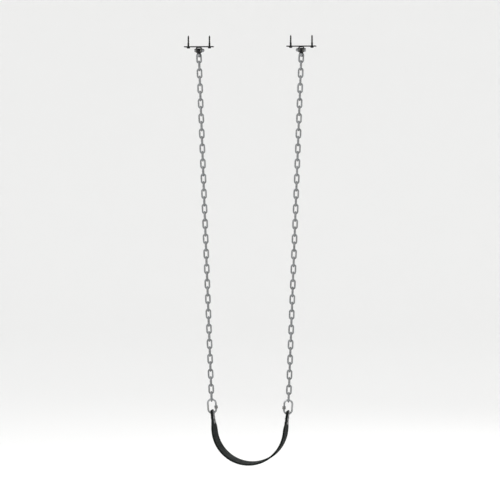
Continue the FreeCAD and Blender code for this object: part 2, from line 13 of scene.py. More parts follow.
import bmesh
import bpy
import numpy as np
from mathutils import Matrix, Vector

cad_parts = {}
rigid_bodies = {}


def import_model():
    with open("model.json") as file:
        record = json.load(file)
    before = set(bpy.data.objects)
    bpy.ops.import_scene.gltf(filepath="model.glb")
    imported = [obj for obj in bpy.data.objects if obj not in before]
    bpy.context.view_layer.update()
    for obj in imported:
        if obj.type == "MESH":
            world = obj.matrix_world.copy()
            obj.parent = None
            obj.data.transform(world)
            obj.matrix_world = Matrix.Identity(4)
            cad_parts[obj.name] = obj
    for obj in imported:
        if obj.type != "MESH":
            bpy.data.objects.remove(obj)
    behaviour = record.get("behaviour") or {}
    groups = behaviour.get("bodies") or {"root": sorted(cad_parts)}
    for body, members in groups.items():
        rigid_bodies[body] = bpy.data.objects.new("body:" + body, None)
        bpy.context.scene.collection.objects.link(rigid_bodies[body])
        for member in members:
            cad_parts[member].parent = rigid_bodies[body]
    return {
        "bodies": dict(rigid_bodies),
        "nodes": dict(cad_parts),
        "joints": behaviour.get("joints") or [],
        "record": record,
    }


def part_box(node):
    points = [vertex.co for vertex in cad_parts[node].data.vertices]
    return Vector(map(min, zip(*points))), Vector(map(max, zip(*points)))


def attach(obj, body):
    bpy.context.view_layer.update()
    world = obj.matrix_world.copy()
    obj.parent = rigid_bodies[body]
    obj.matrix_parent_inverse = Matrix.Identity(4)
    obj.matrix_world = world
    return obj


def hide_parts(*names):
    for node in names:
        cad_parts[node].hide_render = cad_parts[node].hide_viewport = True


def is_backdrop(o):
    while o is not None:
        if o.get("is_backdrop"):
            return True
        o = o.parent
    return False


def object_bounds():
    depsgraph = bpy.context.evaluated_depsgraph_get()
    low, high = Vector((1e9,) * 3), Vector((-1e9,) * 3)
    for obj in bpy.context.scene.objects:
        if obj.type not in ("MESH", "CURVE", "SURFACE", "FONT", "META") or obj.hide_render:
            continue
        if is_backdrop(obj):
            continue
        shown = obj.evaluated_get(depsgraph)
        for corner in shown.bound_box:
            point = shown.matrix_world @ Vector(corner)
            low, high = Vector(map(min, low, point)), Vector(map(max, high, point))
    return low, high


log = logging.getLogger("belt_swing")

Array = np.ndarray
Colour = tuple[float, float, float]
Input = "Signal | bpy.types.NodeSocket | float | tuple[float, ...]"

MM = 0.001
TURN = 2.0 * math.pi
SHARP_ANGLE = math.radians(34.0)
MERGE_DISTANCE = 0.002 * MM
# A Mix node's colour sockets go by number, because its number and vector sockets share their names.
MIX_SHARE = 0
MIX_FIRST = 6
MIX_SECOND = 7
MIX_COLOUR = 2
# A ring's wire counts as its inside where the section's normal points this far inwards, and on.
INSIDE_START = 0.15


class Side(Enum):
    """The two sides of the swing, by the sign of their X."""

    LEFT = -1
    RIGHT = 1

    def node(self, piece: str) -> str:
        """The name of this side's node of a piece."""
        return f"{piece}_{self.name.lower()}"


# ---- Shader maths --------------------------------------------------------------------------------
class Signal:
    """One output socket of a shader, on which arithmetic adds Math nodes."""

    def __init__(self, graph: "Graph", socket: bpy.types.NodeSocket) -> None:
        """Wraps a socket.

        Args:
            graph: the node graph that the socket belongs to.
            socket: the output socket.
        """
        self.graph = graph
        self.socket = socket

    def _math(self, operation: str, *values: Input) -> "Signal":
        """A Math node with the given operation and values."""
        return self.graph.signal("ShaderNodeMath", {"operation": operation}, dict(enumerate(values)))

    def __add__(self, other: Input) -> "Signal":
        """This plus the other."""
        return self._math("ADD", self, other)

    __radd__ = __add__

    def __sub__(self, other: Input) -> "Signal":
        """This minus the other."""
        return self._math("SUBTRACT", self, other)

    def __rsub__(self, other: Input) -> "Signal":
        """The other minus this."""
        return self._math("SUBTRACT", other, self)

    def __mul__(self, other: Input) -> "Signal":
        """This times the other."""
        return self._math("MULTIPLY", self, other)

    __rmul__ = __mul__

    def sine(self) -> "Signal":
        """The sine of this, in radians."""
        return self._math("SINE", self)

    def step(self, low: float, high: float) -> "Signal":
        """A smooth step of this, 0 below low and 1 above high."""
        inputs = {"Value": self, "From Min": low, "From Max": high}
        return self.graph.signal("ShaderNodeMapRange", {"interpolation_type": "SMOOTHSTEP"}, inputs)


class Graph:
    """The nodes of one material."""

    def __init__(self, name: str) -> None:
        """Starts an empty material.

        Args:
            name: the material's name.
        """
        self.material = bpy.data.materials.new(name)
        self.material.use_nodes = True
        self.material.node_tree.nodes.clear()
        self.place = self.signal("ShaderNodeTexCoord", {}, {}, "Object")

    def node(
        self, kind: str, settings: dict[str, object], inputs: dict[str | int, Input]
    ) -> bpy.types.Node:
        """Adds a node.

        Args:
            kind: the node's type.
            settings: its own properties, such as a Math node's operation, set first.
            inputs: values or links by socket name or number.

        Returns:
            The new node.
        """
        made = self.material.node_tree.nodes.new(kind)
        for key, value in settings.items():
            setattr(made, key, value)
        for key, value in inputs.items():
            source = value.socket if isinstance(value, Signal) else value
            if isinstance(source, bpy.types.NodeSocket):
                self.material.node_tree.links.new(source, made.inputs[key])
            elif isinstance(source, tuple) and made.inputs[key].type == "RGBA":
                made.inputs[key].default_value = (*source, 1.0)
            else:
                made.inputs[key].default_value = source
        return made

    def signal(
        self,
        kind: str,
        settings: dict[str, object],
        inputs: dict[str | int, Input],
        output: str | int = 0,
    ) -> Signal:
        """Adds a node and wraps one of its outputs."""
        return Signal(self, self.node(kind, settings, inputs).outputs[output])

    def noise(self, scale: float, detail: float = 3.0, roughness: float = 0.55) -> Signal:
        """Fractal noise of Object coordinates, about 0.5 on average."""
        inputs = {"Vector": self.place, "Scale": scale, "Detail": detail, "Roughness": roughness}
        return self.signal("ShaderNodeTexNoise", {}, inputs)

    def streaks(
        self,
        scale: float,
        stretch: tuple[float, float, float],
        detail: float,
        roughness: float = 0.5,
    ) -> Signal:
        """Fractal noise drawn out along the axes whose coordinates are made smaller.

        Args:
            scale: features in a metre, before the drawing out.
            stretch: what each coordinate is multiplied by first.
            detail: the noise's octaves.
            roughness: how much each finer octave counts.

        Returns:
            The noise, about 0.5 on average.
        """
        place = self.signal("ShaderNodeMapping", {}, {"Vector": self.place, "Scale": stretch})
        inputs = {"Vector": place, "Scale": scale, "Detail": detail, "Roughness": roughness}
        return self.signal("ShaderNodeTexNoise", {}, inputs)

    def cells(self, scale: float, output: str = "Distance") -> Signal:
        """Voronoi cells of Object coordinates."""
        return self.signal("ShaderNodeTexVoronoi", {}, {"Vector": self.place, "Scale": scale}, output)

    def attribute(self, name: str) -> Signal:
        """A number that the mesh carries at each of its points."""
        return self.signal("ShaderNodeAttribute", {"attribute_name": name}, {}, "Fac")

    def blend(self, share: Input, first: Input, second: Input) -> Signal:
        """A mix of two colours, the first at share 0 and the second at share 1."""
        inputs = {MIX_SHARE: share, MIX_FIRST: first, MIX_SECOND: second}
        return self.signal("ShaderNodeMix", {"data_type": "RGBA"}, inputs, MIX_COLOUR)

    def bump(self, height: Signal, distance: float, strength: float = 1.0) -> Signal:
        """A normal raised by a height that stands for the distance where it is 1."""
        inputs = {"Height": height, "Distance": distance, "Strength": strength}
        return self.signal("ShaderNodeBump", {}, inputs)

    def finish(self, inputs: dict[str | int, Input]) -> bpy.types.Material:
        """Ends the material in a Principled shader.

        Args:
            inputs: values or links by the shader's socket name.

        Returns:
            The finished material.
        """
        shader = self.node("ShaderNodeBsdfPrincipled", {}, inputs)
        self.node("ShaderNodeOutputMaterial", {}, {"Surface": shader.outputs[0]})
        return self.material


# ---- Finishes ------------------------------------------------------------------------------------
# Every scale counts features in a metre.
@dataclass(frozen=True)
class PowderCoat:
    """Black powder paint on steel: orange peel, settled dust and a few chips down to the metal."""

    name: str
    colour: Colour = (0.0075, 0.0080, 0.0082)
    dust: Colour = (0.075, 0.070, 0.060)
    chip: Colour = (0.26, 0.25, 0.23)
    peel_scale: float = 1500.0
    patch_scale: float = 38.0
    grain_scale: float = 420.0
    chip_scale: float = 210.0
    roughness: float = 0.48
    specular: float = 0.18

    def material(self) -> bpy.types.Material:
        """Mixes the finish.

        Returns:
            Its material.
        """
        graph = Graph(self.name)
        peel = graph.noise(self.peel_scale, 2.0)
        patches = graph.noise(self.patch_scale, 4.0, 0.6)
        grains = graph.noise(self.grain_scale, 3.0)
        dusty = patches.step(0.46, 0.72) * grains.step(0.42, 0.66) * 0.55
        chipped = graph.noise(self.chip_scale, 5.0, 0.62).step(0.71, 0.735)
        painted = graph.blend(dusty, self.colour, self.dust)
        height = peel * 0.35 - chipped * 0.9
        return graph.finish(
            {
                "Base Color": graph.blend(chipped, painted, self.chip),
                "Metallic": chipped * 0.85,
                "Roughness": self.roughness + dusty * 0.44 + patches * 0.10,
                "Specular IOR Level": self.specular,
                "Normal": graph.bump(height, 0.12 * MM, 0.7),
            }
        )


@dataclass(frozen=True)
class ZincPlate:
    """Electroplated zinc: a cool mottled metal with fine drawn scratches and dull film in patches."""

    name: str
    colour: Colour = (0.29, 0.30, 0.31)
    film: Colour = (0.165, 0.17, 0.166)
    tint: Colour = (0.28, 0.265, 0.215)
    roughness: float = 0.30
    mottle_scale: float = 95.0
    fine_scale: float = 900.0
    scratch_scale: float = 2600.0
    tint_scale: float = 33.0

    def material(self) -> bpy.types.Material:
        """Mixes the finish.

        Returns:
            Its material.
        """
        graph = Graph(self.name)
        mottle = graph.noise(self.mottle_scale, 5.0, 0.62)
        fine = graph.noise(self.fine_scale, 3.0)
        scratches = graph.streaks(self.scratch_scale, (1.0, 1.0, 0.06), 2.0)
        dull = mottle.step(0.44, 0.68)
        warm = graph.noise(self.tint_scale).step(0.45, 0.7)
        plated = graph.blend(warm * 0.5, self.colour, self.tint)
        return graph.finish(
            {
                "Base Color": graph.blend(dull * 0.65, plated, self.film),
                "Metallic": 1.0 - dull * 0.12,
                "Roughness": self.roughness + dull * 0.22 + fine * 0.08,
                "Normal": graph.bump(fine * 0.4 + scratches * 0.6, 0.03 * MM, 0.6),
            }
        )


@dataclass(frozen=True)
class Galvanised:
    """Weathered hot-dip zinc on a chain: spangle, chalky white film, and bright metal where links
    rub. The mesh's wear attribute is 1 on the rubbed places, and its weld attribute on the weld."""

    name: str
    colour: Colour = (0.190, 0.198, 0.203)
    spangle: Colour = (0.30, 0.31, 0.318)
    chalk: Colour = (0.225, 0.225, 0.22)
    grime: Colour = (0.046, 0.042, 0.035)
    bright: Colour = (0.46, 0.46, 0.45)
    spangle_scale: float = 420.0
    chalk_scale: float = 60.0
    soil_scale: float = 26.0
    speck_scale: float = 330.0
    pit_scale: float = 1300.0

    def material(self) -> bpy.types.Material:
        """Mixes the finish.

        Returns:
            Its material.
        """
        graph = Graph(self.name)
        worn = graph.attribute("wear")
        weld = graph.attribute("weld")
        flecks = graph.cells(self.spangle_scale, "Color")
        tone = graph.signal("ShaderNodeSeparateColor", {}, {"Color": flecks})
        chalky = graph.noise(self.chalk_scale, 5.0, 0.65).step(0.46, 0.66)
        soil = graph.noise(self.soil_scale, 4.0, 0.6).step(0.50, 0.72)
        dirty = soil * graph.noise(self.speck_scale, 3.0).step(0.38, 0.62)
        zinc = graph.blend(tone, self.colour, self.spangle)
        filmed = graph.blend(chalky * 0.6, zinc, self.chalk)
        soiled = graph.blend((dirty * 0.5 + weld * 0.35) * (1.0 - worn), filmed, self.grime)
        pitted = graph.noise(self.pit_scale, 3.0)
        return graph.finish(
            {
                "Base Color": graph.blend(worn, soiled, self.bright),
                "Metallic": 0.92 - chalky * 0.42 * (1.0 - worn),
                "Roughness": (0.42 + chalky * 0.20 + tone * 0.08) * (1.0 - worn * 0.55),
                "Normal": graph.bump(pitted * (1.0 - worn), 0.06 * MM, 0.8),
            }
        )


@dataclass(frozen=True)
class BeltRubber:
    """Moulded black rubber with a faint green cast: leather-like grain, bloom, dust in the grain,
    and a polished, scuffed seat. The mesh's seat attribute is 1 where a rider sits."""

    name: str
    # The base black and the bloom are set several times darker than black rubber: the rubber's own
    # black with painted shade in it.
    colour: Colour = (0.0046, 0.0072, 0.0064)
    bloom: Colour = (0.0075, 0.0105, 0.0095)
    dust: Colour = (0.028, 0.027, 0.024)
    scuff: Colour = (0.019, 0.022, 0.021)
    grain_scale: float = 620.0
    pore_scale: float = 2100.0
    bloom_scale: float = 17.0
    dust_scale: float = 34.0
    scuff_scale: float = 240.0
    roughness: float = 0.74
    specular: float = 0.06

    def material(self) -> bpy.types.Material:
        """Mixes the finish.

        Returns:
            Its material.
        """
        graph = Graph(self.name)
        seat = graph.attribute("seat")
        grain = graph.cells(self.grain_scale)
        pores = graph.noise(self.pore_scale, 3.0)
        bloomed = graph.noise(self.bloom_scale, 5.0, 0.62).step(0.40, 0.68)
        streaks = graph.streaks(self.scuff_scale, (1.0, 0.10, 1.0), 5.0, 0.7)
        scuffed = streaks.step(0.56, 0.70) * seat
        in_grain = grain.step(0.30, 0.62) * graph.noise(self.dust_scale, 4.0).step(0.46, 0.70)
        aged = graph.blend(bloomed * 0.55, self.colour, self.bloom)
        dusted = graph.blend(in_grain * 0.30, aged, self.dust)
        height = grain.step(0.05, 0.55) * -0.75 + pores * 0.25
        return graph.finish(
            {
                "Base Color": graph.blend(scuffed * 0.55, dusted, self.scuff),
                "Roughness": self.roughness + bloomed * 0.08 + in_grain * 0.14 - seat * 0.10,
                "Specular IOR Level": self.specular,
                "Normal": graph.bump(height * (1.0 - seat * 0.45), 0.16 * MM, 0.75),
            }
        )


@dataclass(frozen=True)
class Nylon:
    """Natural nylon: a creamy moulded plastic with grey grease worked into it."""

    name: str
    colour: Colour = (0.72, 0.70, 0.62)
    grease: Colour = (0.10, 0.095, 0.085)
    grease_scale: float = 240.0
    mould_scale: float = 1800.0

    def material(self) -> bpy.types.Material:
        """Mixes the finish.

        Returns:
            Its material.
        """
        graph = Graph(self.name)
        greasy = graph.noise(self.grease_scale, 4.0, 0.6).step(0.50, 0.72)
        return graph.finish(
            {
                "Base Color": graph.blend(greasy * 0.6, self.colour, self.grease),
                "Roughness": 0.46 - greasy * 0.14,
                "Normal": graph.bump(graph.noise(self.mould_scale, 2.0), 0.03 * MM, 0.5),
            }
        )


@dataclass(frozen=True)
class WovenPly:
    """Plain-woven carcass cloth: warp round the belt's run and weft along Y."""

    name: str
    thread: float = 1.6 * MM
    depth: float = 0.3 * MM
    light: Colour = (0.60, 0.56, 0.46)
    # The darker colour is painted shade, which the weave's low points get; the lighter one is the
    # thread's own colour.
    weave_painted_shade: Colour = (0.20, 0.18, 0.14)

    def material(self) -> bpy.types.Material:
        """Mixes the finish: the weave's height is the product of two thread waves.

        Returns:
            Its material.
        """
        graph = Graph(self.name)
        axes = {
            name: graph.signal("ShaderNodeSeparateXYZ", {}, {"Vector": graph.place}, name)
            for name in ("X", "Y", "Z")
        }
        turns = TURN / self.thread
        across = (axes["Y"] * turns).sine()
        along = ((axes["X"] + axes["Z"]) * turns).sine()
        height = (across * along) * 0.5 + 0.5
        return graph.finish(
            {
                # The colour follows the weave's height: painted shade in its low points.
                "Base Color": graph.blend(height, self.weave_painted_shade, self.light),
                "Roughness": 0.78 + height * 0.12,
                "Normal": graph.bump(height, self.depth),
            }
        )


@dataclass(frozen=True)
class StudioPaper:
    """The pale studio floor and backdrop."""

    name: str
    colour: Colour = (0.90, 0.90, 0.895)
    fibre_scale: float = 3.0

    def material(self) -> bpy.types.Material:
        """Mixes the finish.

        Returns:
            Its material.
        """
        graph = Graph(self.name)
        fibre = graph.noise(self.fibre_scale, 3.0) * 0.03
        return graph.finish({"Base Color": self.colour, "Roughness": 0.88 + fibre})


# ---- Surfaces ------------------------------------------------------------------------------------
def grid_quads(rows: int, columns: int, around: bool = False, along: bool = False) -> Array:
    """The quads of a grid of points held row by row.

    Args:
        rows: number of rows.
        columns: number of points in a row.
        around: whether each row closes on itself.
        along: whether the last row joins the first.

    Returns:
        An array of four point numbers for each quad.
    """
    row = np.arange(rows if along else rows - 1)[:, None]
    column = np.arange(columns if around else columns - 1)[None, :]
    next_row = (row + 1) % rows
    next_column = (column + 1) % columns
    corners = (
        row * columns + column,
        row * columns + next_column,
        next_row * columns + next_column,
        next_row * columns + column,
    )
    return np.stack([np.broadcast_to(c, (row.size, column.size)) for c in corners], -1).reshape(-1, 4)


def new_piece(
    name: str,
    points: Array,
    faces: list[list[int]],
    fields: dict[str, Array] | None = None,
) -> bpy.types.Object:
    """Makes a closed mesh object at the origin, its doubles merged and its faces turned outwards.

    Args:
        name: the piece's name.
        points: its points in metres, one in a row.
        faces: point numbers of each face.
        fields: numbers that the mesh carries at each point, by attribute name.

    Returns:
        The new object, in the scene.
    """
    mesh = bpy.data.meshes.new(name)
    mesh.from_pydata(points.tolist(), [], faces)
    for key, values in (fields or {}).items():
        mesh.attributes.new(key, "FLOAT", "POINT").data.foreach_set("value", values.ravel())
    work = bmesh.new()
    work.from_mesh(mesh)
    bmesh.ops.remove_doubles(work, verts=work.verts, dist=MERGE_DISTANCE)
    bmesh.ops.recalc_face_normals(work, faces=work.faces)
    work.to_mesh(mesh)
    work.free()
    mesh.shade_smooth()
    mesh.set_sharp_from_angle(angle=SHARP_ANGLE)
    piece = bpy.data.objects.new(name, mesh)
    bpy.context.scene.collection.objects.link(piece)
    log.info("%s: %d points, %d faces", name, len(mesh.vertices), len(mesh.polygons))
    return piece


def dress(piece: bpy.types.Object, material: bpy.types.Material) -> None:
    """Gives a piece one material all over.

    Args:
        piece: the piece or the frame's node.
        material: its finish.
    """
    for slot in piece.material_slots:
        slot.material = material
    if not piece.material_slots:
        piece.data.materials.append(material)
    log.info("%s: dressed in %s", piece.name, material.name)


def turned(points: Array, angle: float) -> Array:
    """Points turned about Y by an angle in radians, from +Z towards +X."""
    c, s = math.cos(angle), math.sin(angle)
    return points @ np.array([[c, 0.0, -s], [0.0, 1.0, 0.0], [s, 0.0, c]])


def wire_ring(path: Array, radius: Array, normal: Array) -> Array:
    """A round wire carried along a path that lies in a plane.

    Each section is the path's point plus the radius times (the cosine of the section's angle times
    the in-plane normal, plus its sine times the plane's normal).

    Args:
        path: the centreline's points, one in a row.
        radius: the wire's radius by path point and section angle.
        normal: unit in-plane normal at each path point.

    Returns:
        Points by path point, section angle and axis.
    """
    angle = np.arange(radius.shape[1]) * TURN / radius.shape[1]
    side = normal[:, None, :] * np.cos(angle)[None, :, None]
    out = np.array([0.0, 1.0, 0.0]) * np.sin(angle)[None, :, None]
    return path[:, None, :] + radius[:, :, None] * (side + out)


def bump_shape(value: Array, centre: float, half_width: float) -> Array:
    """A smooth bump, 1 at the centre and 0 beyond the half width: a raised cosine."""
    reach = np.clip(np.abs(value - centre) / half_width, 0.0, 1.0)
    return 0.5 + 0.5 * np.cos(math.pi * reach)


def plateau(value: Array, inner: float, outer: float) -> Array:
    """1 where the size of the value is under inner, 0 where it is over outer, smooth between."""
    share = np.clip((np.abs(value) - inner) / (outer - inner), 0.0, 1.0)
    return 0.5 + 0.5 * np.cos(math.pi * share)


def rubbed(normal: Array, angle: Array, crown_start: float) -> Array:
    """How bright a ring's wire is rubbed: 1 on its inside at the crowns, and 0 on its outside.

    It is the product of two ramps: one of the path normal's share of Z, from the crown's start up
    to 1, and one of how far the section's normal points into the ring.

    Args:
        normal: unit in-plane normal at each path point.
        angle: the section's angles, 0 out of the ring.
        crown_start: the normal's share of Z at which the crown starts.

    Returns:
        The wear by path point and section angle.
    """
    crown = np.clip((np.abs(normal[:, 2]) - crown_start) / (1.0 - crown_start), 0.0, 1.0)
    inward = np.clip(-np.cos(angle) - INSIDE_START, 0.0, 1.0) / (1.0 - INSIDE_START)
    return crown[:, None] * inward[None, :]


# ---- Chain ---------------------------------------------------------------------------------------
@dataclass
class Chain:
    """A hanging chain of welded links, alternately facing the front and lying fore and aft."""

    count: int = 46
    wire: float = 7.0 * MM
    pitch: float = 32.4 * MM
    inner_width: float = 11.0 * MM
    contact_gap: float = 0.15 * MM
    bolt_radius: float = 4.0 * MM
    weld_swell: float = 0.45 * MM
    weld_half_length: float = 2.6 * MM
    weld_inner_share: float = 0.3
    crown_start: float = 0.55
    bend_steps: int = 13
    straight_steps: int = 7
    section_steps: int = 14

    def centreline(self) -> tuple[Array, Array]:
        """The link's stadium: two half circles joined by straights, in XZ round the origin.

        Returns:
            The path's points, and the in-plane normals out of the link.
        """
        bend = self.inner_width / 2 + self.wire / 2
        half = (self.pitch + self.contact_gap) / 2 - self.inner_width / 2
        arc = np.linspace(0.0, math.pi, self.bend_steps)
        rise = np.linspace(-half, half, self.straight_steps + 2)[1:-1]
        top = np.stack([bend * np.cos(arc), 0 * arc, half + bend * np.sin(arc)], -1)
        left = np.stack([-bend + 0 * rise, 0 * rise, -rise], -1)
        path = np.concatenate([top, left, -top, -left])
        up = np.stack([np.cos(arc), 0 * arc, np.sin(arc)], -1)
        west = np.broadcast_to([-1.0, 0.0, 0.0], left.shape)
        normal = np.concatenate([up, west, -up, -west])
        return path, normal

    def link(self) -> tuple[Array, Array, Array]:
        """One link, its wire swollen at the weld on one straight side, most of all outwards.

        Returns:
            Its points by path and section, and its wear and weld fields.
        """
        path, normal = self.centreline()
        angle = np.arange(self.section_steps) * TURN / self.section_steps
        on_left = path[:, 0] < -self.inner_width / 2
        weld = np.where(on_left, bump_shape(path[:, 2], 0.0, self.weld_half_length), 0.0)
        least = self.weld_inner_share
        outwards = (1.0 + least) / 2 + (1.0 - least) / 2 * np.cos(angle)
        radius = self.wire / 2 + self.weld_swell * weld[:, None] * outwards
        points = wire_ring(path, radius, normal)
        wear = rubbed(normal, angle, self.crown_start)
        return points, wear, np.broadcast_to(weld[:, None], wear.shape)

    def build(self, side: Side, top: Array, end: Array) -> bpy.types.Object:
        """Lays the links on the line from the clevis bolt to the last crown.

        Args:
            side: which chain it is.
            top: the clevis bolt's centre.
            end: the centre of the last link's lower crown.

        Returns:
            The chain as one piece.
        """
        link, wear, weld = self.link()
        shape = link.shape
        flat = link.reshape(-1, 3)
        crosswise = np.stack([-flat[:, 1], flat[:, 0], flat[:, 2]], -1)
        run = top - end
        lean = math.atan2(run[0], run[2])
        first = (self.pitch + self.contact_gap) / 2 - self.bolt_radius - self.contact_gap
        depth = first + np.arange(self.count) * self.pitch
        centres = top[None, :] - depth[:, None] * (run / np.linalg.norm(run))[None, :]
        facing = (np.arange(self.count) % 2 == 0)[:, None, None]
        both = np.where(facing, turned(flat, lean)[None], turned(crosswise, lean)[None])
        points = (both + centres[:, None, :]).reshape(-1, 3)
        quads = grid_quads(shape[0], shape[1], around=True, along=True)
        offsets = np.arange(self.count)[:, None, None] * flat.shape[0]
        faces = (quads[None] + offsets).reshape(-1, 4)
        fields = {
            "wear": np.tile(wear.ravel(), self.count),
            "weld": np.tile(weld.ravel(), self.count),
        }
        return new_piece(side.node("welded_chain"), points, faces.tolist(), fields)


# ---- Quick link ----------------------------------------------------------------------------------
@dataclass
class QuickLink:
    """The bent wire of a quick link, threaded where its sleeve screws on."""

    wire: float = 8.0 * MM
    width: float = 35.0 * MM
    height: float = 60.0 * MM
    stub: float = 4.0 * MM
    opening: float = 7.0 * MM
    thread_pitch: float = 1.25 * MM
    thread_depth: float = 0.5 * MM
    thread_length: float = 13.5 * MM
    end_chamfer: float = 0.8 * MM
    crown_start: float = 0.7
    bend_steps: int = 40
    thread_steps: int = 96
    section_steps: int = 24

    def centreline(self) -> tuple[Array, Array, Array]:
        """From the lower stub's end, down round the foot, up the outer side, round the crown and
        down to the upper stub's end.

        Returns:
            The path's points, in-plane normals, and on the threaded side the distance from the
            nearer wire end, which is a metre everywhere else.
        """
        bend = self.width / 2
        half = self.height / 2 - bend
        lower_end = -half + self.stub
        upper_end = lower_end + self.opening
        arc = np.linspace(0.0, math.pi, self.bend_steps)
        down = np.linspace(lower_end, -half, self.thread_steps // 3)
        back = np.linspace(half, upper_end, self.thread_steps)

        def straight(x: float, z: Array) -> Array:
            """Points up a side of the link."""
            return np.stack([x + 0 * z, 0 * z, z], -1)

        foot = np.stack([-bend * np.cos(arc), 0 * arc, -half - bend * np.sin(arc)], -1)
        crown = np.stack([bend * np.cos(arc), 0 * arc, half + bend * np.sin(arc)], -1)
        path = np.concatenate([straight(-bend, down[:-1]), foot, crown, straight(-bend, back[1:])])
        out = path - np.clip(path, [0, 0, -half], [0, 0, half])
        normal = out / np.linalg.norm(out, axis=1, keepdims=True)
        on_side = path[:, 0] < -bend + 0.001 * MM
        height = path[:, 2]
        from_end = np.minimum(np.abs(height - lower_end), np.abs(height - upper_end))
        return path, normal, np.where(on_side, from_end, 1.0)

    def build(self, side: Side, eye: Array, end: Array) -> bpy.types.Object:
        """Places the link from the belt's eye up to the last crown of the chain.

        The radius on the thread is the wire's own, less the depth times a wave that moves on by one
        pitch in each turn of the section.

        Args:
            side: which link it is.
            eye: the centre of the belt's eye, which is the middle of the link's foot.
            end: the centre of the chain's last crown.

        Returns:
            The link's wire as one piece.
        """
        path, normal, depth = self.centreline()
        angle = np.arange(self.section_steps) * TURN / self.section_steps
        wave = 0.5 + 0.5 * np.cos(TURN * path[:, 2, None] / self.thread_pitch - angle[None, :])
        threaded = plateau(depth, self.thread_length - self.thread_pitch, self.thread_length)
        radius = self.wire / 2 - self.thread_depth * wave * threaded[:, None]
        radius -= np.clip(self.end_chamfer - depth, 0.0, None)[:, None]
        points = wire_ring(path, radius, normal)
        rows, columns = radius.shape
        faces = grid_quads(rows, columns, around=True).tolist()
        faces.append(list(range(columns)))
        faces.append(list(range((rows - 1) * columns, rows * columns)))
        flat = points.reshape(-1, 3)
        if side is Side.LEFT:
            flat = flat * np.array([-1.0, -1.0, 1.0])
        run = end - eye
        lean = math.atan2(run[0], run[2])
        placed = turned(flat, lean) + eye + turned(np.array([[0, 0, self.height / 2]]), lean)
        fields = {"wear": rubbed(normal, angle, self.crown_start)}
        return new_piece(side.node("quick_link_wire"), placed, faces, fields)


# ---- Lag screws ----------------------------------------------------------------------------------
@dataclass
class LagScrew:
    """A lag screw with a washer head: hex, flange, plain shank, rolled wood thread and point."""

    shank_radius: float = 3.95 * MM
    core_radius: float = 2.9 * MM
    length: float = 50.8 * MM
    shank_length: float = 18.0 * MM
    thread_pitch: float = 2.82 * MM
    point_length: float = 6.0 * MM
    hex_flats: float = 11.1 * MM
    hex_height: float = 5.3 * MM
    flange_radius: float = 8.25 * MM
    flange_height: float = 1.4 * MM
    flange_depths: tuple[float, ...] = (1.1 * MM, 0.4 * MM, 0.12 * MM, 0.0)
    flange_insets: tuple[float, ...] = (0.5 * MM, 0.15 * MM, 0.0, 0.05 * MM, 0.3 * MM)
    hex_chamfer: float = 0.7 * MM
    hex_gap: float = 0.02 * MM
    shank_shoulder: float = 1.0 * MM
    blunt_tip: float = 0.4 * MM
    crest_sharpness: float = 2.1
    crest_power: float = 0.8
    point_power: float = 0.8
    crest_hold: float = 1.4
    columns: int = 48
    thread_rows: int = 150

    def surface(self) -> tuple[Array, list[list[int]]]:
        """The screw as radii on a grid of height and angle, closed by a pole at each end.

        The hex's radius is half its width across flats over the cosine of the angle from the
        nearest flat. The thread's radius is the core's plus the crest's height times a sharpened
        wave that climbs one pitch in each turn.

        Returns:
            The points and faces, with the head's seat at height 0.
        """
        angle = np.arange(self.columns) * TURN / self.columns
        flat = self.hex_flats / 2
        from_flat = np.mod(angle, TURN / 6) - TURN / 12
        hexagon = flat / np.cos(from_flat)
        corner = flat / math.cos(TURN / 12)
        rise = np.array([0.0, 0.35, 0.7, 1.0]) * self.hex_chamfer
        head_top = -self.flange_height - self.hex_gap
        head_z = np.concatenate([-self.hex_height + rise, [head_top]])
        limit = np.concatenate([corner - self.hex_chamfer + rise, [corner]])
        head = np.minimum(hexagon[None, :], limit[:, None])

        flange_z = -np.array([self.flange_height, *self.flange_depths])
        flange_r = self.flange_radius - np.array(self.flange_insets)
        shank_z = np.array([0.0, self.shank_length - self.shank_shoulder])
        shank_r = np.full(2, self.shank_radius)

        thread_end = self.length - self.blunt_tip
        rows_z = np.linspace(self.shank_length, thread_end, self.thread_rows)
        to_tip = (self.length - rows_z) / self.point_length
        envelope = np.clip(to_tip, 0.0, 1.0) ** self.point_power
        starts = np.clip((rows_z - self.shank_length) / self.thread_pitch, 0.0, 1.0)
        phase = np.mod(rows_z[:, None] / self.thread_pitch - angle[None, :] / TURN, 1.0)
        wedge = np.clip(1.0 - np.abs(2.0 * phase - 1.0) * self.crest_sharpness, 0.0, 1.0)
        ridge = wedge**self.crest_power
        depth = self.shank_radius - self.core_radius
        core = self.core_radius + depth * (1.0 - starts) ** 2
        lift = depth * starts * np.clip(envelope * self.crest_hold, 0.0, 1.0)
        thread = (core * envelope)[:, None] + lift[:, None] * ridge

        heights = np.concatenate([head_z, flange_z, shank_z, rows_z])
        radii = np.concatenate(
            [
                head,
                np.broadcast_to(flange_r[:, None], (flange_r.size, self.columns)),
                np.broadcast_to(shank_r[:, None], (2, self.columns)),
                thread,
            ]
        )
        levels = np.broadcast_to(heights[:, None], radii.shape)
        ring = np.stack([radii * np.cos(angle), radii * np.sin(angle), levels], -1).reshape(-1, 3)
        poles = np.array([[0.0, 0.0, heights[0]], [0.0, 0.0, self.length]])
        rows = heights.size
        faces = grid_quads(rows, self.columns, around=True).tolist()
        first = np.arange(self.columns)
        nxt = (first + 1) % self.columns
        foot = np.stack([np.full_like(first, rows * self.columns), nxt, first], -1)
        last = (rows - 1) * self.columns
        tip = np.stack([np.full_like(first, rows * self.columns + 1), first + last, nxt + last], -1)
        return np.concatenate([ring, poles]), faces + foot.tolist() + tip.tolist()

    def build(self, side: Side, seats: list[Array]) -> bpy.types.Object:
        """Both screws of one hanger.

        Args:
            side: which hanger it is.
            seats: where each head bears on the plate.

        Returns:
            The screws as one piece.
        """
        points, faces = self.surface()
        placed = np.concatenate([points + seat for seat in seats])
        count = len(points)
        every = [[n + i * count for n in face] for i in range(len(seats)) for face in faces]
        return new_piece(side.node("lag_screw_pair"), placed, every)


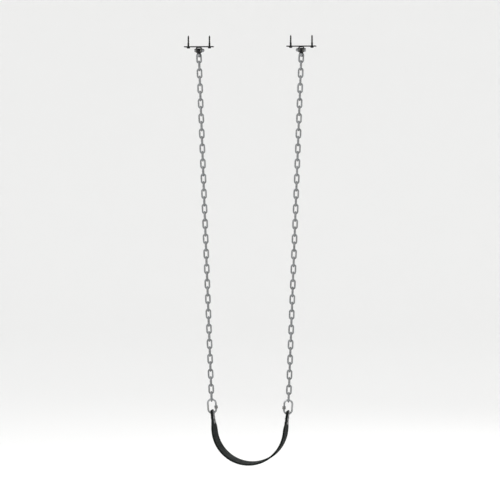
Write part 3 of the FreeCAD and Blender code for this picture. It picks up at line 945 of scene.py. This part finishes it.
# ---- Belt ----------------------------------------------------------------------------------------
@dataclass
class Belt:
    """The moulded belt: a flat pattern with two eyes, raised into beads and ribs, and then bent
    into its U. On the pattern, s runs round the U from its bottom, and y runs across the belt."""

    radius: float = 155.0 * MM
    wrap: float = math.radians(83.0)
    arm: float = 80.0 * MM
    width: float = 133.0 * MM
    thickness: float = 6.0 * MM
    tab_half_width: float = 30.0 * MM
    tab_end: float = 16.0 * MM
    tab_corner: float = 14.0 * MM
    taper_start: float = 63.0 * MM
    taper_end: float = 17.0 * MM
    taper_rounding: float = 15.0 * MM
    eye_bore: float = 9.1 * MM
    edge_round: float = 2.4 * MM
    hair: float = 0.005 * MM
    bead_height: float = 0.9 * MM
    bead_centre: float = 4.6 * MM
    bead_half_width: float = 2.6 * MM
    rib_pitch: float = 9.0 * MM
    rib_height: float = 0.6 * MM
    rib_run: float = 168.0 * MM
    rib_half_width: float = 46.0 * MM
    seat_run_share: float = 0.7
    seat_side_share: float = 0.8
    groove_place: float = 53.0 * MM
    groove_depth: float = 0.5 * MM
    groove_half_width: float = 1.6 * MM
    bead_ends: float = 40.0 * MM
    bead_fade: float = 22.0 * MM
    rib_fade: float = 12.0 * MM
    rib_side_fade: float = 3.0 * MM
    rib_power: float = 1.6
    patch_reach: float = 26.0 * MM
    fine_step: float = 1.1 * MM
    coarse_step: float = 2.6 * MM
    patch_rings: int = 22
    patch_steps: int = 120
    outline_steps: int = 900
    corner_steps: int = 33
    edge_chunk: int = 2000
    arm_station: float = field(init=False)
    eye_station: float = field(init=False)
    outline: Array = field(init=False)

    def __post_init__(self) -> None:
        """Works out the stations of the eye and the tab's end, and the outline."""
        self.arm_station = self.radius * self.wrap
        self.eye_station = self.arm_station + self.arm
        self.outline = self.half_outline()

    def half_outline(self) -> Array:
        """Half the outline of one end. Each corner gives way to an arc tangent to both its sides.

        Returns:
            Its (s, y) points, from the bottom's middle to the tab's tip.
        """
        wide = self.width / 2
        tip = self.eye_station + self.tab_end
        turn = math.atan2(wide - self.tab_half_width, self.taper_start - self.taper_end)
        shoulder = self.taper_rounding / math.tan(turn / 2)
        corners = np.array(
            [
                (0.0, wide),
                (self.eye_station - self.taper_start, wide),
                (self.eye_station - self.taper_end, self.tab_half_width),
                (tip, self.tab_half_width),
                (tip, 0.0),
            ]
        )
        runs = [corners[:1]]
        for i, radius in ((1, shoulder), (2, shoulder), (3, self.tab_corner)):
            back = corners[i - 1] - corners[i]
            ahead = corners[i + 1] - corners[i]
            back /= np.linalg.norm(back)
            ahead /= np.linalg.norm(ahead)
            half = math.acos(float(back @ ahead)) / 2
            middle = (back + ahead) / np.linalg.norm(back + ahead)
            centre = corners[i] + middle * (radius / math.sin(half))
            start = corners[i] + back * (radius / math.tan(half)) - centre
            stop = corners[i] + ahead * (radius / math.tan(half)) - centre
            share = np.linspace(0.0, 1.0, self.corner_steps)[:, None]
            chord = start * (1 - share) + stop * share
            runs.append(centre + chord * (radius / np.linalg.norm(chord, axis=1, keepdims=True)))
        runs.append(corners[-1:])
        rough = np.concatenate(runs)
        steps = np.linalg.norm(np.diff(rough, axis=0), axis=1)
        along = np.concatenate([[0.0], np.cumsum(steps)])
        fine = np.union1d(along, np.linspace(0.0, along[-1], self.outline_steps))
        return np.stack([np.interp(fine, along, rough[:, axis]) for axis in (0, 1)], -1)

    def edge_distance(self, pattern: Array) -> Array:
        """The distance of each pattern point from the belt's outline.

        It is the least distance from the outline's straight segments: a point's foot on a segment
        is its projection, held between the segment's ends. What is nearer than a hair is on the
        edge.

        Args:
            pattern: (s, y) points.

        Returns:
            The distances, in metres.
        """
        start, run = self.outline[:-1], np.diff(self.outline, axis=0)
        square = np.sum(run**2, axis=1)
        gaps = []
        for part in np.array_split(np.abs(pattern), len(pattern) // self.edge_chunk + 1):
            ahead = part[:, None, :] - start[None]
            share = np.clip(np.sum(ahead * run[None], axis=2) / square, 0.0, 1.0)
            gap = ahead - share[:, :, None] * run[None]
            gaps.append(np.sqrt(np.min(np.sum(gap**2, axis=2), axis=1)))
        distance = np.concatenate(gaps)
        return np.where(distance < self.hair, 0.0, distance)

    def across(self) -> Array:
        """Places across the belt, crowded at the edges, the beads and the grooves.

        Returns:
            The places, from -1 at one edge to 1 at the other.
        """
        half = self.width / 2
        # Depths in from the edge, in millimetres.
        rim = np.array([0.0, 0.1, 0.35, 0.75, 1.3, 2.0, 2.8, 3.6])
        bead = np.array([4.6, 5.6, 6.4, 7.4, 9.0, 11.0, 12.3])
        groove = half / MM - self.groove_place / MM + np.array([0.0, 1.2, 2.4])
        inner = np.linspace(18.5, half / MM, 13)
        depth = np.concatenate([rim, bead, groove, inner]) * MM
        place = 1.0 - np.unique(np.round(depth, 7)) / half
        return np.unique(np.round(np.concatenate([place, -place]), 9))

    def strip(self) -> tuple[Array, Array]:
        """The pattern's long middle, between the two ends' patches.

        Each row spans the outline's width at its s.

        Returns:
            A grid of (s, y), and its quads.
        """
        last = self.eye_station - self.patch_reach
        fine = np.arange(0.0, self.rib_run + self.rib_pitch, self.fine_step)
        coarse = np.linspace(fine[-1], last, int((last - fine[-1]) / self.coarse_step) + 1)
        half = np.concatenate([fine, coarse[1:]])
        station = np.concatenate([-half[:0:-1], half])
        falling = self.outline[self.outline[:, 0] < self.eye_station]
        half_width = np.interp(np.abs(station), falling[:, 0], falling[:, 1])
        across = self.across()
        place = half_width[:, None] * across[None, :]
        pattern = np.stack([np.broadcast_to(station[:, None], place.shape), place], -1)
        return pattern, grid_quads(*place.shape)

    def patch(self) -> tuple[Array, Array]:
        """One end's pattern: rings from its eye's bore out to the outline.

        Each ray from the eye ends on the outline, or on the strip's last row, whose points it
        meets one for one.

        Returns:
            A grid of (s, y), and its quads.
        """
        eye = np.array([self.eye_station, 0.0])
        last = self.eye_station - self.patch_reach
        falling = self.outline[self.outline[:, 0] < self.eye_station]
        half_width = float(np.interp(last, falling[:, 0], falling[:, 1]))
        row = np.stack([np.full_like(self.across(), last), half_width * self.across()], -1)
        rim = self.outline[self.outline[:, 0] > last]
        rim_angle = np.arctan2(rim[:, 1], rim[:, 0] - eye[0])
        corner = math.atan2(half_width, last - eye[0])
        sweep = np.linspace(corner, 0.0, self.patch_steps // 2)[1:]
        reach = np.interp(sweep, rim_angle[::-1], np.linalg.norm(rim - eye, axis=1)[::-1])
        upper = eye + reach[:, None] * np.stack([np.cos(sweep), np.sin(sweep)], -1)
        lower = upper[-2::-1] * np.array([1.0, -1.0])
        boundary = np.concatenate([row, upper, lower])
        ray = boundary - eye
        unit = ray / np.linalg.norm(ray, axis=1, keepdims=True)
        bore = eye + self.eye_bore * unit
        share = np.sin(np.linspace(0.0, 1.0, self.patch_rings) * math.pi / 2)[:, None, None]
        pattern = bore[None] * (1 - share) + boundary[None] * share
        return pattern, grid_quads(*pattern.shape[:2], around=True)

    def height(self, pattern: Array, inner: bool) -> Array:
        """How far a face of the belt stands off the middle of its thickness.

        Half the thickness, rounded off to nothing as a quarter circle at the outline; plus a bead
        along the outline, less a groove over the ply's edge; and on the inner face, grip ribs
        across the seat.

        Args:
            pattern: (s, y) points.
            inner: whether it is the face that a rider sits on.

        Returns:
            The heights, in metres.
        """
        edge = self.edge_distance(pattern)
        corner = 1.0 - np.clip(edge / self.edge_round, 0.0, 1.0)
        rounded = self.thickness / 2 * np.sqrt(np.clip(1.0 - corner**2, 0.0, 1.0))
        run = np.abs(pattern[:, 0])
        bead_end = self.eye_station - self.bead_ends
        beaded = plateau(run, bead_end - self.bead_fade, bead_end)
        bead = self.bead_height * bump_shape(edge, self.bead_centre, self.bead_half_width) * beaded
        ply_edge = self.width / 2 - self.groove_place
        groove = self.groove_depth * bump_shape(edge, ply_edge, self.groove_half_width) * beaded
        total = rounded + bead - groove
        if inner:
            wave = 0.5 + 0.5 * np.cos(TURN * pattern[:, 0] / self.rib_pitch)
            area = plateau(run, self.rib_run - self.rib_fade, self.rib_run)
            side = self.rib_half_width
            area = area * plateau(pattern[:, 1], side - self.rib_side_fade, side)
            total = total + self.rib_height * wave**self.rib_power * area
        return total

    def bent(self, pattern: Array, height: Array, eye: Array) -> Array:
        """Bends the pattern into the U, a height outwards of the middle of its thickness.

        Round the bottom a point lies at the radius plus its height, at the angle s over the
        radius; beyond the wrap it carries straight on along the arm.

        Args:
            pattern: (s, y) points.
            height: distances out of the U.
            eye: the right eye's centre, in metres.

        Returns:
            Points in the frame.
        """
        s = pattern[:, 0]
        side = np.where(s < 0, -1.0, 1.0)
        angle = np.clip(np.abs(s) / self.radius, 0.0, self.wrap)
        straight = np.clip(np.abs(s) - self.arm_station, 0.0, None)
        rise = self.radius * (1 - math.cos(self.wrap)) + self.arm * math.sin(self.wrap)
        centre = eye[2] - rise + self.radius
        reach = self.radius + height
        x = side * (reach * np.sin(angle) + straight * np.cos(angle))
        z = centre - reach * np.cos(angle) + straight * np.sin(angle)
        return np.stack([x, pattern[:, 1], z], -1)

    def build(self, eye: Array) -> bpy.types.Object:
        """The whole belt as one closed piece.

        Args:
            eye: the right eye's centre.

        Returns:
            The belt, with its seat field.
        """
        strip, strip_quads = self.strip()
        patch, patch_quads = self.patch()
        mirrored = patch * np.array([-1.0, 1.0])
        sheets = [
            (strip.reshape(-1, 2), strip_quads),
            (patch.reshape(-1, 2), patch_quads),
            (mirrored.reshape(-1, 2), patch_quads),
        ]
        pattern = np.concatenate([points for points, _ in sheets])
        starts = np.cumsum([0] + [len(points) for points, _ in sheets])
        quads = np.concatenate([q + start for (_, q), start in zip(sheets, starts)])
        outer = self.bent(pattern, self.height(pattern, False), eye)
        inner = self.bent(pattern, -self.height(pattern, True), eye)
        count = len(pattern)
        faces = [quads, quads[:, ::-1] + count]
        ring = np.arange(patch.shape[1])
        following = (ring + 1) % patch.shape[1]
        for start in starts[1:3]:
            near, far = ring + start, following + start
            faces.append(np.stack([near, far, far + count, near + count], -1))
        seat = plateau(pattern[:, 0], self.rib_run * self.seat_run_share, self.rib_run)
        side = self.rib_half_width * self.seat_side_share
        seat = seat * plateau(pattern[:, 1], side, self.width / 2)
        fields = {"seat": np.concatenate([0 * seat, seat])}
        every = np.concatenate(faces).tolist()
        return new_piece("moulded_belt", np.concatenate([outer, inner]), every, fields)


# ---- Pieces that keep the frame's own shape ------------------------------------------------------
@dataclass
class EasedParts:
    """Machined and pressed pieces: the frame's own shapes with their sharp edges eased."""

    ease: float = 0.45 * MM
    segments: int = 2
    flat_angle: float = math.radians(0.6)
    edge_angle: float = math.radians(38.0)

    def build(
        self, node: str, body: str, slot: str, material: bpy.types.Material
    ) -> bpy.types.Object:
        """Copies a node, eases its edges and dresses it.

        Args:
            node: the node it is copied from, which it replaces.
            body: the body it moves with.
            slot: the material slot that its finish stands for; not used.
            material: its finish.

        Returns:
            The new piece.
        """
        mesh = bpy.data.objects[node].data.copy()
        mesh.name = node + "_eased"
        work = bmesh.new()
        work.from_mesh(mesh)
        bmesh.ops.remove_doubles(work, verts=work.verts, dist=MERGE_DISTANCE)
        flat = {"verts": work.verts, "edges": work.edges}
        bmesh.ops.dissolve_limit(work, angle_limit=self.flat_angle, **flat)
        joined = [edge for edge in work.edges if len(edge.link_faces) == 2]
        sharp = [edge for edge in joined if edge.calc_face_angle() > self.edge_angle]
        bmesh.ops.bevel(
            work,
            geom=sharp,
            offset=self.ease,
            segments=self.segments,
            profile=0.5,
            affect="EDGES",
            clamp_overlap=True,
        )
        bmesh.ops.recalc_face_normals(work, faces=work.faces)
        work.to_mesh(mesh)
        work.free()
        piece = bpy.data.objects.new(node + "_eased", mesh)
        bpy.context.scene.collection.objects.link(piece)
        mesh.materials.clear()
        mesh.materials.append(material)
        mesh.shade_smooth()
        mesh.set_sharp_from_angle(angle=SHARP_ANGLE)
        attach(piece, body)
        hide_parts(node)
        log.info("%s: %d faces", piece.name, len(mesh.polygons))
        return piece


# ---- Studio --------------------------------------------------------------------------------------
@dataclass
class Studio:
    """A pale bowl that is floor and backdrop in one, soft lights, and the camera."""

    ground: float = -2.15
    flat_radius: float = 17.0
    sweep_radius: float = 7.0
    wall_height: float = 6.0
    inner_radius: float = 4.0
    pole_radius: float = 0.001
    arc_steps: int = 13
    spokes: int = 96
    sky: float = 1.02
    eye_point: tuple[float, float, float] = (1.90, -13.0, -0.53)
    lens: float = 220.0
    sensor: float = 36.0

    def camera(self, centre: Vector) -> None:
        """The camera at standing eye height, a little to the right.

        Args:
            centre: the swing's middle, which it is aimed at.
        """
        data = bpy.data.cameras.new("view")
        data.lens = self.lens
        data.sensor_width = self.sensor
        data.clip_end = 200.0
        camera = bpy.data.objects.new("view", data)
        camera.location = self.eye_point
        aim = centre - Vector(self.eye_point)
        camera.rotation_euler = aim.to_track_quat("-Z", "Y").to_euler()
        bpy.context.scene.collection.objects.link(camera)
        bpy.context.scene.camera = camera

    def light(
        self, name: str, place: tuple[float, float, float], target: Vector, size: float, power: float
    ) -> None:
        """A square soft light.

        Args:
            name: its name.
            place: where it stands, in metres.
            target: what it is aimed at.
            size: its side, in metres.
            power: its power, in watts.
        """
        data = bpy.data.lights.new(name, "AREA")
        data.shape = "SQUARE"
        data.size = size
        data.energy = power
        lamp = bpy.data.objects.new(name, data)
        lamp.location = place
        lamp.rotation_euler = (target - Vector(place)).to_track_quat("-Z", "Y").to_euler()
        bpy.context.scene.collection.objects.link(lamp)

    def backdrop(self) -> None:
        """The bowl: a disc whose rim turns up in a quarter circle into a wall, spun about Z."""
        arc = np.linspace(0.0, math.pi / 2, self.arc_steps)[1:]
        flat = [self.pole_radius, self.inner_radius, self.flat_radius]
        radius = np.concatenate([flat, self.flat_radius + self.sweep_radius * np.sin(arc)])
        height = np.concatenate([np.zeros(len(flat)), self.sweep_radius * (1 - np.cos(arc))])
        radius = np.append(radius, radius[-1])
        height = np.append(height, height[-1] + self.wall_height) + self.ground
        angle = np.arange(self.spokes) * TURN / self.spokes
        x = radius[:, None] * np.cos(angle)
        y = radius[:, None] * np.sin(angle)
        points = np.stack([x, y, np.broadcast_to(height[:, None], x.shape)], -1).reshape(-1, 3)
        quads = grid_quads(*x.shape, around=True)
        mesh = bpy.data.meshes.new("studio_floor")
        mesh.from_pydata(points.tolist(), [], quads.tolist())
        mesh.shade_smooth()
        floor = bpy.data.objects.new("studio_floor", mesh)
        bpy.context.scene.collection.objects.link(floor)
        dress(floor, StudioPaper("studio_paper").material())
        floor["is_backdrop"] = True

    def build(self, centre: Vector) -> None:
        """Sets out the world, the lights and the backdrop.

        Args:
            centre: the swing's middle.
        """
        world = bpy.data.worlds.new("studio_air")
        world.use_nodes = True
        air = world.node_tree.nodes["Background"].inputs
        air["Color"].default_value = (1.0, 1.0, 1.0, 1.0)
        air["Strength"].default_value = self.sky
        bpy.context.scene.world = world
        bpy.context.scene.view_settings.view_transform = "Standard"
        self.backdrop()
        self.light("key", (-3.2, -4.2, 2.4), centre, 2.4, 130.0)
        self.light("fill", (4.4, -3.4, 0.2), centre, 3.0, 30.0)
        self.light("back", (1.6, 4.6, 2.2), centre, 2.4, 60.0)


# ---- The whole swing -----------------------------------------------------------------------------
@dataclass
class Finishes:
    """Every material, made once."""

    black: bpy.types.Material
    zinc: bpy.types.Material
    bright: bpy.types.Material
    sleeve: bpy.types.Material
    galvanised: bpy.types.Material
    rubber: bpy.types.Material
    nylon: bpy.types.Material
    ply: bpy.types.Material


def make_finishes() -> Finishes:
    """Makes the swing's materials."""
    return Finishes(
        black=PowderCoat("black_powder_coat").material(),
        zinc=ZincPlate("zinc_plate").material(),
        bright=ZincPlate("bright_zinc", colour=(0.36, 0.37, 0.38), roughness=0.24).material(),
        # The sleeve's zinc is the bright zinc made much darker: painted shade on the sleeve.
        sleeve=ZincPlate("sleeve_zinc", colour=(0.165, 0.17, 0.175), roughness=0.28).material(),
        galvanised=Galvanised("galvanised_chain").material(),
        rubber=BeltRubber("belt_rubber").material(),
        nylon=Nylon("nylon").material(),
        ply=WovenPly("woven_ply").material(),
    )


@dataclass
class Swing:
    """The whole swing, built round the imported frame."""

    frame: dict
    finishes: Finishes
    eased: EasedParts = field(default_factory=EasedParts)

    def joint_place(self, name: str) -> Array:
        """Where a joint of the frame lies, in metres."""
        found = next(j for j in self.frame["joints"] if j["name"] == name)
        return np.array(found["pos_m"], float)

    def add(
        self, piece: bpy.types.Object, body: str, node: str, slot: str, material: bpy.types.Material
    ) -> None:
        """Dresses a remade piece, ties it to its body, and lets it stand for its node.

        Args:
            piece: the remade piece.
            body: the body it moves with.
            node: the node it replaces.
            slot: the material slot that its finish stands for; not used.
            material: its finish.
        """
        dress(piece, material)
        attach(piece, body)
        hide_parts(node)

    def hanger(self, side: Side) -> None:
        """One hanger: plate, yoke, lag screws, pivot bolt, nut and washers.

        Args:
            side: which hanger it is.
        """
        for piece in ("hanger_plate", "hanger_yoke"):
            self.eased.build(side.node(piece), "hangers", "black_coat", self.finishes.black)
        for piece in ("pivot_bolt", "pivot_nut", "pivot_washers"):
            dress(self.frame["nodes"][side.node(piece)], self.finishes.zinc)
        low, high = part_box(side.node("lag_screws"))
        screw = LagScrew()
        seat = low.z + screw.hex_height
        inset = screw.flange_radius
        seats = [np.array([x, 0.0, seat]) for x in (low.x + inset, high.x - inset)]
        node = side.node("lag_screws")
        self.add(screw.build(side, seats), "hangers", node, "black_coat", self.finishes.black)

    def pendulum(self, side: Side) -> None:
        """One pendulum with its bushes, clevis bolt and nut.

        Args:
            side: which pendulum it is.
        """
        body = side.node("pendulum")
        self.eased.build(side.node("pendulum"), body, "black_coat", self.finishes.black)
        dress(self.frame["nodes"][side.node("pivot_bushes")], self.finishes.nylon)
        for piece in ("clevis_bolt", "clevis_nut"):
            dress(self.frame["nodes"][side.node(piece)], self.finishes.zinc)

    def suspension(self, side: Side, eye: Array) -> None:
        """One chain with its quick link and sleeve.

        Args:
            side: which chain it is.
            eye: the right eye's centre, which the left one mirrors.
        """
        top = self.joint_place(side.node("sway"))
        end = self.joint_place(side.node("ring_turn"))
        chain = Chain().build(side, top, end)
        node = side.node("chain")
        self.add(chain, node, node, "galvanised", self.finishes.galvanised)
        wire = QuickLink().build(side, eye * np.array([side.value, 1.0, 1.0]), end)
        node = side.node("quick_link")
        self.add(wire, side.node("ring"), node, "bright_steel", self.finishes.bright)
        dress(self.frame["nodes"][side.node("quick_sleeve")], self.finishes.sleeve)

    def seat(self, eye: Array) -> None:
        """The belt with its ply, end plates, grommets and rivets.

        Args:
            eye: the right eye's centre.
        """
        self.add(Belt().build(eye), "seat", "belt", "belt_rubber", self.finishes.rubber)
        dress(self.frame["nodes"]["belt_core"], self.finishes.ply)
        for side in Side:
            for piece in ("outer_end_plate", "inner_end_plate"):
                self.eased.build(side.node(piece), "seat", "black_coat", self.finishes.black)
            for piece in ("grommet", "end_rivets"):
                dress(self.frame["nodes"][side.node(piece)], self.finishes.zinc)

    def build(self) -> None:
        """Builds every piece."""
        eye = np.abs(self.joint_place("seat_pitch")) * np.array([1.0, 1.0, -1.0])
        for side in Side:
            self.hanger(side)
            self.pendulum(side)
            self.suspension(side, eye)
        self.seat(eye)


def main() -> None:
    """Loads the frame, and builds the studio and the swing."""
    logging.basicConfig(level=logging.INFO, format="%(name)s: %(message)s")
    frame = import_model()
    cad_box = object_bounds()
    centre = (cad_box[0] + cad_box[1]) / 2
    studio = Studio()
    studio.camera(centre)
    studio.build(centre)
    Swing(frame, make_finishes()).build()


if __name__ == "__main__":
    main()
